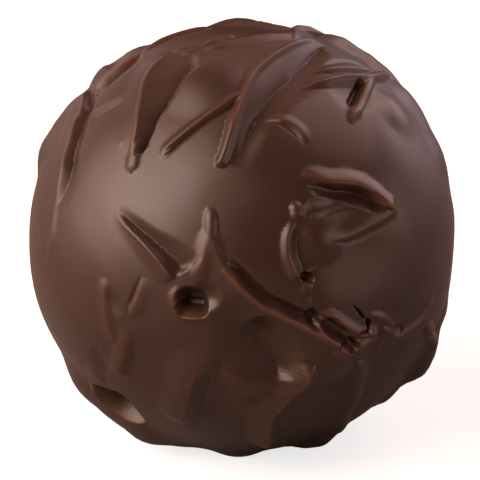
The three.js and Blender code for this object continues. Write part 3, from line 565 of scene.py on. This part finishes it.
def upper_right():
    return [
        hollow('upper right groove', [(316, 65), (332, 63), (350, 62), (370, 63)], 0.1, 0.3, 0.3,
               fade=(1.0, 0.5)),
        ridge('upper right ridge', [(312, 70), (330, 67), (346, 66), (362, 67), (378, 69)], 0.32, 0.5,
              0.45, fade=(2.2, 1.0), sharp=0.5, tip=0.1),
        ridge('lower right ridge', [(302, 86), (314, 81), (328, 78), (342, 75), (358, 74), (374, 74),
              (390, 71)], 0.42, 0.45, 0.55, fade=(2.5, 1.0), sharp=0.5, tip=0.1),
        hollow('lower right groove', [(300, 91), (315, 87), (330, 84), (346, 81)], 0.08, 0.3, 0.4,
               fade=(1.0, 0.8)),
        ridge('ear', [(371, 77), (369, 86), (365, 96), (360, 106), (355, 114), (350, 123)], 0.3, 0.4, 0.55,
              fade=(0.6, 1.4), sharp=0.3, glow=0.5),
        hollow('ear slit', [(360, 81), (356, 89), (353, 98), (350, 107)], 0.55, 0.24, 0.3, fade=(0.8, 0.8),
               sharp=0.4),
        swell('ear dish', [(352, 94)], -0.3, 1.8),
        swell('ear cheek', [(396, 112)], 0.3, 2.2),
    ]


def lid():
    return [
        ridge('lid', [(301, 172), (318, 174), (334, 178), (350, 179), (364, 182), (377, 190), (387, 199),
              (394, 208)], 0.44, 0.8, (0.6, 0.5, 0.42, 0.36, 0.34), fade=(3.0, 0.5), sharp=0.35, lean=0.24,
              glow=0.8),
        hollow('lid cavity', [(306, 187), (326, 188), (345, 190), (362, 194), (375, 200), (386, 208)], 0.6,
               0.28, 1.2, fade=(3.4, 0.8), sharp=0.3),
        hollow('lid groove', [(305, 217), (313, 209), (325, 204), (340, 200), (356, 200)], 0.18, 0.7, 0.7,
               fade=(1.0, 1.0), sharp=0.1),
        swell('lid dish', [(345, 206)], -0.3, 2.2),
        swell('lid bulge', [(322, 240)], 0.3, 1.8),
        ridge('lid return', [(396, 208), (389, 215), (376, 223), (362, 230), (348, 236), (333, 240)], 0.12,
              0.35, 1.2, fade=(0.5, 2.0), sharp=0.3, steep='left', dip=0.06),
    ]


def centre():
    return [
        ridge('small blob', [(297, 208), (298, 213)], 0.22, 0.45, 0.45, fade=(0.0, 0.0), sharp=0.1),
        ridge('upright ridge', [(294, 221), (289, 234), (288, 248), (290, 262), (298, 281)], 0.26, 0.62,
              0.4, fade=(1.2, 0.6), sharp=0.5, steep='left', dip=0.3, reach=3.5, curve=1.2),
        hollow('upright hole', [(305, 276), (308, 277)], 0.6, 0.34, 0.34, fade=(0.0, 0.0), sharp=0.1),
        ridge('upright flap', [(300, 291), (307, 288), (314, 288)], 0.16, 0.35, 0.9, fade=(0.7, 0.7),
              sharp=0.2),
        swell('upper press dish', [(345, 256)], -0.2, 4.0),
        swell('lower press dish', [(374, 266)], -0.3, 4.2),
    ]


def centre_left():
    return [
        ridge('flap', [(115, 213), (126, 226), (138, 238), (150, 251), (161, 264), (173, 280)], 0.2,
              (0.25, 0.28, 0.36, 0.55, 0.75), 1.0, fade=(4.5, 0.5), sharp=0.6, lip=0.1, steep='left',
              dip=0.42, reach=2.6),
        ridge('flat ridge', [(210, 207), (210, 220), (210, 236), (210, 250)], 0.3, 0.42, 0.46,
              fade=(1.0, 1.5), sharp=0.2),
        ridge('left branch of the flat ridge', [(207, 226), (206, 241), (204, 255), (200, 267),
              (193, 280)], 0.28, 1.3, 0.6, fade=(1.5, 1.5), sharp=0.4),
        ridge('right branch of the flat ridge', [(213, 228), (213, 243), (217, 257), (224, 268),
              (234, 281)], 0.26, 0.42, 1.4, fade=(1.5, 0.8), sharp=0.4),
        hollow('pit', [(191, 298), (198, 299)], 1.15, 0.95, 0.95, fade=(0.0, 0.0), sharp=0.0),
        hollow('pit floor', [(188, 304), (201, 305)], 1.4, 0.62, 0.62, fade=(0.0, 0.0), sharp=0.0),
        hollow('pit ramp', [(206, 296)], 0.5, 1.1, 1.1, sharp=0.0),
        ridge('pit rim', [(180, 287), (174, 296), (175, 306), (182, 314), (193, 318), (206, 318)], 0.16,
              0.4, 0.5, fade=(1.2, 1.5), sharp=0.5, glow=0.6),
    ]


def long_diagonal():
    return [
        ridge('long diagonal', [(222, 268), (234, 281), (248, 296), (264, 309), (282, 318), (301, 327),
              (320, 336), (340, 346)], 0.36, (0.6, 0.6, 0.6, 0.6, 0.4),
              (1.6, 1.6, 1.8, 2.6, 3.0, 1.8, 0.8), fade=(1.5, 0.0), lip=0.12, steep='left', dip=0.5,
              curve=1.2, glow=0.7),
        swell('dark bay', [(246, 328)], -0.5, 2.6),
        swell('lower dark bay', [(250, 352)], -0.3, 2.4),
        hollow('bay line', [(257, 316), (265, 332), (272, 348), (277, 364), (279, 380)], 0.8, 2.0, 2.4,
               fade=(2.0, 1.0)),
        ridge('bay side branch', [(308, 355), (298, 365), (284, 380)], 0.12, 0.5, 0.8, fade=(1.2, 0.6),
              sharp=0.5),
        ridge('bay sill', [(218, 369), (232, 378), (248, 387), (264, 391), (284, 390), (306, 380)], 0.26,
              1.0, 1.0, fade=(1.5, 1.5), sharp=0.4),
    ]


def curl():
    return [
        hollow('small hole', [(310, 314), (315, 322)], 0.55, 0.45, 0.45, fade=(0.0, 0.0), sharp=0.1),
        hollow('curl tube', [(330, 323), (338, 331)], 0.36, 0.5, 0.55, fade=(0.0, 0.0), sharp=0.1),
        hollow('curl hole', [(346, 341), (351, 345)], 0.7, 0.4, 0.4, fade=(0.0, 0.0), sharp=0.1),
        ridge('curl', [(322, 311), (332, 315), (344, 323), (355, 330), (366, 334), (376, 333)], 0.32, 0.32,
              0.4, fade=(0.8, 0.2), sharp=0.4, glow=1.0),
        ridge('curl back', [(377, 336), (367, 344), (356, 350), (344, 353), (330, 354)], 0.32, 0.7, 0.5,
              fade=(0.3, 1.0), sharp=0.4, glow=0.6),
        ridge('curl tip', [(372, 332), (376, 334)], 0.3, 0.4, 0.4, fade=(0.0, 0.0), sharp=0.2),
        hollow('crevice', [(352, 304), (359, 312), (365, 320)], 0.4, 0.12, 0.12, fade=(1.5, 0.3),
               tip=0.04),
        hollow('crevice foot', [(367, 318), (367, 324), (364, 330), (357, 332)], 0.5, 0.2, 0.2,
               fade=(0.5, 0.3), tip=0.06),
        swell('curl ledge', [(304, 306)], 0.12, 0.7),
        ridge('tube rim', [(321, 316), (321, 326), (324, 336), (330, 342)], 0.2, 0.3, 0.3, fade=(0.3, 0.3),
              sharp=0.2, glow=0.5),
    ]


def wavy_ridge():
    return [
        ridge('wavy branch', [(369, 316), (379, 317), (388, 321), (394, 328)], 0.14, 0.35, 0.45,
              fade=(1.0, 0.6)),
        ridge('wavy ridge', [(382, 327), (391, 334), (401, 337), (411, 331), (421, 323), (428, 311),
              (433, 292)], 0.24, 0.6, 0.8, fade=(0.8, 2.5)),
        hollow('wavy hollow', [(394, 328), (402, 330)], 0.16, 0.4, 0.4, fade=(0.3, 0.3), sharp=0.3),
        ridge('wavy tip', [(424, 326), (432, 331), (437, 337), (438, 345)], 0.3, 0.6, 0.7, fade=(1.0, 0.8),
              sharp=0.5, glow=0.7),
        hollow('wavy shade', [(380, 344), (392, 346), (406, 345)], 0.16, 0.8, 1.0, fade=(1.2, 1.2),
               sharp=0.2),
    ]


def left_vee():
    return [
        ridge('vee left', [(105, 278), (103, 294), (105, 314), (110, 334), (120, 346)], 0.14, 0.6, 0.8,
              fade=(1.2, 1.5), sharp=0.8),
        hollow('vee hollow', [(110, 286), (114, 300), (121, 316)], 0.14, 0.7, 0.6, fade=(1.2, 1.2),
               sharp=0.3),
        ridge('vee right', [(144, 277), (140, 291), (135, 304), (129, 317)], 0.12, 0.9, 0.3,
              fade=(1.2, 1.2), sharp=0.6, steep='right', dip=0.1),
        ridge('vee tongue', [(127, 326), (124, 344), (120, 360), (116, 374)], 0.22, 0.8, 0.9,
              fade=(3.0, 0.9), sharp=0.2),
        hollow('left low groove', [(96, 345), (103, 359), (107, 376)], 0.2, 0.4, 1.3, fade=(1.5, 0.8),
               sharp=0.4),
        swell('left low cheek', [(96, 374)], 0.15, 1.0),
    ]


def lower_left():
    return [
        ridge('broad ridge', [(222, 370), (204, 371), (194, 378), (189, 391), (186, 406), (180, 424)],
              0.38, 0.9, 2.2, fade=(1.8, 1.8), sharp=0.3, steep='left', dip=0.06, curve=0.8),
    ]


def bottom():
    return [
        ridge('bottom crest', [(313, 364), (311, 377), (304, 387), (292, 398), (278, 413), (269, 426),
              (266, 444)], 0.7, 0.9, 1.5, fade=(1.2, 1.5), sharp=0.6, glow=0.6),
        ridge('right lower ridge', [(358, 360), (362, 378), (358, 394), (352, 409), (345, 422),
              (337, 434)], 0.42, 0.9, 1.0, fade=(1.0, 1.5), sharp=0.6),
        swell('lower left dish', [(155, 365)], -0.2, 3.0),
        swell('bottom dish', [(222, 408)], -0.22, 2.2),
        swell('lower right dish', [(330, 395)], -0.22, 2.2),
        swell('low front swell', [(328, 358)], 0.7, 3.4),
    ]


def outline():
    return [
        swell('left rim start', [(121, 38)], 0.36, 1.8),
        swell('swell between the folds', [(206, 78)], 0.45, 3.8),
        swell('left rim bump', [(101, 53)], 0.06, 1.8),
        swell('left rim knob', [(76, 76)], 0.12, 1.8),
        swell('left rim foot', [(52, 100)], 0.42, 2.0),
        swell('left corner', [(26, 136)], 0.62, 2.6),
        swell('upper right bulge', [(408, 97)], 0.6, 3.0),
        swell('upper right knuckle', [(386, 54)], 0.75, 2.4),
        swell('upper right shoulder', [(360, 42)], 0.3, 1.6),
        swell('right bulge', [(438, 146)], 0.38, 3.5),
        swell('top right bulge', [(340, 32)], 0.8, 2.1),
        swell('top bulge', [(240, 15)], 0.52, 2.8),
        swell('left low bulge', [(88, 391)], 0.75, 3.4),
        swell('lower left bulge', [(133, 426)], 0.75, 3.0),
        swell('left bottom bulge', [(162, 441)], 0.4, 2.6),
        swell('bottom bulge', [(238, 452)], 0.38, 2.0),
        swell('lower right bulge', [(314, 444)], 0.55, 1.8),
        swell('right low bump', [(388, 396)], 0.34, 1.3),
        swell('right corner', [(426, 358)], 0.9, 2.4),
        swell('right low shoulder', [(416, 382)], 0.42, 1.8),
        swell('right low knob', [(338, 452)], 0.4, 1.8),
        swell('right shoulder', [(448, 322)], 0.3, 2.0),
        swell('right dish', [(456, 254)], -0.15, 3.0),
    ]


def front_strokes():
    """Plans laid out in points of the front view."""
    groups = (left_side, upper_left, long_crest, top, upper_right, lid, centre, centre_left, long_diagonal,
              curl, wavy_ridge, left_vee, lower_left, bottom, outline)
    return [stroke for group in groups for stroke in group()]


def down_the_back():
    return [
        ridge('back long crest', [(150, 66), (139, 48), (131, 30), (127, 10)], 0.6, 0.4,
              (0.7, 2.2, 1.7, 0.9, 0.5), fade=(2.0, 4.0), lip=0.2, steep='right', dip=0.35),
        ridge('back second fold', [(188, 62), (176, 46), (168, 29), (165, 14)], 0.5, (2.2, 1.8, 1.0, 0.5),
              0.9, fade=(0.8, 1.2), sharp=0.6, lip=0.06, steep='left', dip=0.35),
        ridge('back third fold', [(222, 56), (208, 43), (197, 30), (191, 18)], 0.34, 0.48, 0.6,
              fade=(1.5, 0.4), steep='left', dip=0.1),
        ridge('back fourth fold', [(250, 50), (240, 36), (233, 22), (229, 8)], 0.45, (0.6, 1.4, 0.9, 0.5),
              1.6, fade=(0.8, 4.0), steep='left', dip=0.3),
        ridge('back branch', [(231, 40), (219, 36), (207, 38)], 0.2, 0.4, 1.0, fade=(1.0, 0.4)),
        ridge('crown fold', [(90, 76), (130, 73), (170, 74)], 0.3, 0.6, 0.6, fade=(1.5, 1.5)),
        ridge('crown edge', [(220, 78), (246, 70), (258, 62)], 0.3, 0.5, 0.9, fade=(1.0, 1.5)),
    ]


def right_side():
    return [
        ridge('right side fold', [(124, 46), (118, 32), (114, 16), (113, 2)], 0.45, 1.4, 0.7,
              fade=(1.5, 3.0), steep='right', dip=0.2),
        ridge('right side branch', [(132, 20), (123, 16), (115, 18)], 0.2, 0.8, 0.5, fade=(0.8, 1.0)),
        ridge('right side low fold', [(104, -18), (114, -25), (127, -28), (139, -24)], 0.45, 0.6, 1.6,
              fade=(1.5, 1.0), steep='left', dip=0.25),
        ridge('right side wave', [(94, -44), (104, -48), (116, -47), (126, -41)], 0.3, 0.6, 0.8,
              fade=(1.2, 1.0)),
    ]


def middle_of_the_back():
    return [
        ridge('back lid', [(158, 3), (168, 8), (182, 9), (195, 4), (203, -5)], 0.5, 0.55, 0.42,
              fade=(1.0, 0.6), sharp=0.2, lean=0.15),
        hollow('back lid cavity', [(166, 2), (180, 4), (194, -1)], 0.8, 0.36, 1.2, fade=(1.0, 0.5),
               sharp=0.4),
        ridge('back lid return', [(203, -6), (192, -13), (178, -15), (166, -12)], 0.18, 1.0, 0.4,
              fade=(0.4, 1.5), sharp=0.3),
        ridge('back flap', [(222, -2), (213, -10), (206, -19), (202, -28)], 0.35, 1.2, (0.3, 0.9, 1.3),
              fade=(1.2, 0.5), sharp=0.6, lip=0.08, steep='right', dip=0.45),
        ridge('back long diagonal', [(150, -8), (158, -20), (170, -29), (186, -35), (200, -42)], 0.5, 0.6,
              1.6, fade=(1.5, 0.5), lip=0.1, steep='left', dip=0.3),
        hollow('back pit', [(140, -24), (146, -28)], 0.9, 0.9, 0.9, fade=(0.4, 0.4), sharp=0.1),
        ridge('back pit rim', [(133, -22), (137, -32), (147, -36), (155, -32)], 0.3, 0.9, 0.4,
              fade=(0.6, 0.8), sharp=0.5),
    ]


def left_of_the_back():
    return [
        ridge('left side fold', [(248, 34), (244, 16), (242, 0), (243, -14)], 0.42, 0.7, 1.4,
              fade=(1.0, 3.5), steep='left', dip=0.2),
        ridge('left side second', [(236, -2), (232, -14), (232, -26)], 0.34, 0.6, 0.9, fade=(1.0, 1.5)),
        ridge('left side vee', [(262, -22), (256, -31), (246, -36)], 0.3, 0.9, 0.5, fade=(0.8, 1.0)),
        hollow('left side dip', [(262, -42), (252, -46)], 0.3, 1.2, 1.2, sharp=0.1),
    ]


def low_round_the_back():
    return [
        ridge('back low ridge', [(212, -36), (224, -46), (240, -50)], 0.4, 0.8, 0.9, fade=(1.0, 1.0)),
        ridge('back low crest', [(170, -46), (182, -54), (198, -58)], 0.36, 0.9, 0.7, fade=(1.0, 0.8)),
        ridge('right low crest', [(124, -42), (136, -52), (152, -56)], 0.36, 0.8, 0.7, fade=(1.0, 0.8)),
        swell('back right swell', [(132, -12)], 0.3, 4.5),
        swell('back left swell', [(230, -30)], 0.35, 4.5),
        swell('back upper swell', [(204, 40)], 0.3, 5.0),
        swell('back low swell', [(176, -44)], 0.45, 4.0),
    ]


def lower_pit():
    """Rim of the pit low on the left of the front view, laid out round the ball like the back's strokes."""
    return [
        ridge('lower pit rim', [(-56, -33), (-54, -40), (-48, -44.5), (-39, -46)], 0.35, 0.45, 0.45,
              fade=(0.7, 0.8), sharp=0.5, steep='left', dip=1.6, reach=7.0, glow=0.6),
    ]


def back_strokes():
    """Plans laid out in degrees round the ball."""
    groups = (down_the_back, right_side, middle_of_the_back, left_of_the_back, low_round_the_back,
              lower_pit)
    return [stroke for group in groups for stroke in group()]


def new_material(name):
    """A material with its nodes and links."""
    material = bpy.data.materials.new(name)
    material.use_nodes = True
    tree = material.node_tree
    return material, tree.nodes, tree.links


def noise(nodes, scale, detail, roughness):
    """Noise in the piece's own coordinates, which are metres."""
    place = nodes.get('place') or nodes.new('ShaderNodeTexCoord')
    place.name = 'place'
    texture = nodes.new('ShaderNodeTexNoise')
    texture.inputs['Scale'].default_value = scale
    texture.inputs['Detail'].default_value = detail
    texture.inputs['Roughness'].default_value = roughness
    nodes.id_data.links.new(place.outputs['Object'], texture.inputs['Vector'])
    return texture


def ramp(nodes, links, source, source_range, result_range):
    """A value that runs through the range of results while the source runs through its own."""
    stretch = nodes.new('ShaderNodeMapRange')
    limits = (*source_range, *result_range)
    for name, value in zip(('From Min', 'From Max', 'To Min', 'To Max'), limits):
        stretch.inputs[name].default_value = value
    links.new(source, stretch.inputs['Value'])
    return stretch.outputs['Result']


def chocolate():
    """Satin chocolate with slow patches of gloss, a fine grain, and a painted glow: a lighter colour painted
    along thin crests in place of light shining through them.
    """
    material, nodes, links = new_material('dark chocolate')
    shader = nodes['Principled BSDF']
    shader.inputs['IOR'].default_value = REFRACTION
    # painted glow: mixes a lighter colour into the body along crests, in place of light shining through them
    painted_glow_mix = nodes.new('ShaderNodeMix')
    painted_glow_mix.data_type = 'RGBA'
    painted_glow_mix.inputs['A'].default_value = (*CHOCOLATE, 1)
    painted_glow_mix.inputs['B'].default_value = (*PAINTED_EDGE_GLOW, 1)
    # share of the painted glow, read from the coat's crest attribute
    edge = nodes.new('ShaderNodeAttribute')
    edge.attribute_name = 'crest'
    links.new(edge.outputs['Fac'], painted_glow_mix.inputs['Factor'])
    links.new(painted_glow_mix.outputs['Result'], shader.inputs['Base Color'])
    patches = noise(nodes, *PATCH_NOISE)
    roughness = ramp(nodes, links, patches.outputs['Fac'], PATCH_RANGE, ROUGHNESS)
    links.new(roughness, shader.inputs['Roughness'])
    grain = noise(nodes, *GRAIN_NOISE)
    bump = nodes.new('ShaderNodeBump')
    bump.inputs['Strength'].default_value = GRAIN_STRENGTH
    bump.inputs['Distance'].default_value = GRAIN_DEPTH
    links.new(grain.outputs['Fac'], bump.inputs['Height'])
    links.new(bump.outputs['Normal'], shader.inputs['Normal'])
    return material


def paper():
    """Pale floor that throws only a dim light back on the praline."""
    material, nodes, links = new_material('paper')
    pale = nodes['Principled BSDF']
    pale.inputs['Base Color'].default_value = (*PAPER, 1)
    pale.inputs['Roughness'].default_value = PAPER_ROUGHNESS
    pale.inputs['Emission Color'].default_value = (1, 1, 1, 1)
    pale.inputs['Emission Strength'].default_value = PAPER_BRIGHTNESS
    dim = nodes.new('ShaderNodeBsdfDiffuse')
    dim.inputs['Color'].default_value = (*DIM_PAPER, 1)
    path = nodes.new('ShaderNodeLightPath')
    either = nodes.new('ShaderNodeMixShader')
    links.new(path.outputs['Is Camera Ray'], either.inputs[0])
    links.new(dim.outputs[0], either.inputs[1])
    links.new(pale.outputs[0], either.inputs[2])
    links.new(either.outputs[0], nodes['Material Output'].inputs['Surface'])
    return material


def softbox(name, way, size, power, colour):
    """Rectangular light that looks at the ball's middle from a direction."""
    light = bpy.data.lights.new(name, 'AREA')
    light.shape = 'RECTANGLE'
    light.size, light.size_y = size
    light.energy = power
    light.color = colour
    holder = bpy.data.objects.new(name, light)
    way = Vector(way).normalized()
    holder.location = BALL_MIDDLE + way * LIGHT_DISTANCE
    holder.rotation_euler = way.to_track_quat('Z', 'Y').to_euler()
    bpy.context.collection.objects.link(holder)


def studio():
    """Large soft light from the left, and small ones behind the praline and on its right."""
    softbox('large left softbox', (-0.74, -0.36, 0.56), (0.50, 0.46), 1.90, (1.0, 0.60, 0.42))
    softbox('small left softbox', (-0.69, -0.43, 0.585), (0.28, 0.28), 0.90, (1.0, 0.955, 0.87))
    softbox('left side light', (-0.97, -0.05, 0.25), (0.30, 0.30), 0.70, (1.0, 0.665, 0.605))
    softbox('light behind left', (-0.65, 0.75, 0.10), (0.36, 0.26), 0.23, (1.0, 0.68, 0.62))
    softbox('high light behind', (0.05, 0.75, 0.66), (0.30, 0.20), 0.135, (1.0, 0.50, 0.40))
    softbox('right softbox', (0.60, 0.66, 0.46), (0.20, 0.22), 0.24, (1.0, 0.70, 0.66))
    softbox('light behind right', (0.80, 0.55, 0.10), (0.30, 0.20), 0.15, (1.0, 0.675, 0.73))
    softbox('low light behind right', (0.44, 0.89, 0.12), (0.24, 0.20), 0.05, (1.0, 0.82, 0.95))
    softbox('high right light', (0.55, 0.30, 0.78), (0.24, 0.24), 0.425, (1.0, 0.60, 0.55))
    softbox('right fill', (0.95, -0.25, 0.10), (0.30, 0.20), 0.42, (1.0, 0.655, 0.54))


def room():
    """The faint even light round the praline."""
    world = bpy.data.worlds.new('room')
    world.use_nodes = True
    background = world.node_tree.nodes['Background']
    background.inputs['Color'].default_value = (*ROOM_COLOUR, 1)
    background.inputs['Strength'].default_value = ROOM_BRIGHTNESS
    bpy.context.scene.world = world


def praline(strokes):
    """The whole praline as one closed mesh in metres, with the coat's own slopes as normals."""
    directions, faces, places, crest = coat_mesh(strokes)
    mesh = bpy.data.meshes.new('praline_coat')
    mesh.from_pydata((places / METRE).tolist(), [], faces.tolist())
    mesh.polygons.foreach_set('use_smooth', np.ones(len(faces), dtype=bool))
    # crest attribute: share of the painted glow, a lighter colour painted along crests in place of light
    # shining through them
    thin = mesh.attributes.new('crest', 'FLOAT', 'POINT')
    thin.data.foreach_set('value', crest.astype(np.float32))
    mesh.normals_split_custom_set_from_vertices(coat_normals(directions, strokes).tolist())
    mesh.materials.append(chocolate())
    coat = bpy.data.objects.new('praline_coat', mesh)
    bpy.context.collection.objects.link(coat)
    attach(coat, 'root')
    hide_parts('praline')


def floor():
    """Plain sheet of paper on which the praline stands."""
    bpy.ops.mesh.primitive_plane_add(size=FLOOR_SIZE)
    plane = bpy.context.object
    plane.name = 'floor'
    plane.data.materials.append(paper())


def camera():
    """Camera on the photograph's side of the praline, with the ball's middle where the photograph has it."""
    lens = bpy.data.cameras.new('camera')
    lens.sensor_width = SENSOR_WIDTH
    lens.lens = SENSOR_WIDTH * VIEW_DISTANCE / (VIEW_WIDTH / VIEW_SCALE)
    lens.shift_x = (VIEW_WIDTH / 2 - VIEW_MIDDLE[0]) / VIEW_WIDTH
    lens.shift_y = (VIEW_MIDDLE[1] - VIEW_WIDTH / 2) / VIEW_WIDTH
    lens.clip_start = NEAREST_SEEN
    holder = bpy.data.objects.new('camera', lens)
    holder.location = BALL_MIDDLE + Vector(VIEW_TOWARDS) * VIEW_DISTANCE / METRE
    holder.rotation_euler = Vector(-VIEW_TOWARDS).to_track_quat('-Z', 'Y').to_euler()
    bpy.context.collection.objects.link(holder)
    bpy.context.scene.camera = holder


praline(all_strokes())
floor()
studio()
room()
camera()
bpy.context.scene.view_settings.view_transform = 'Standard'
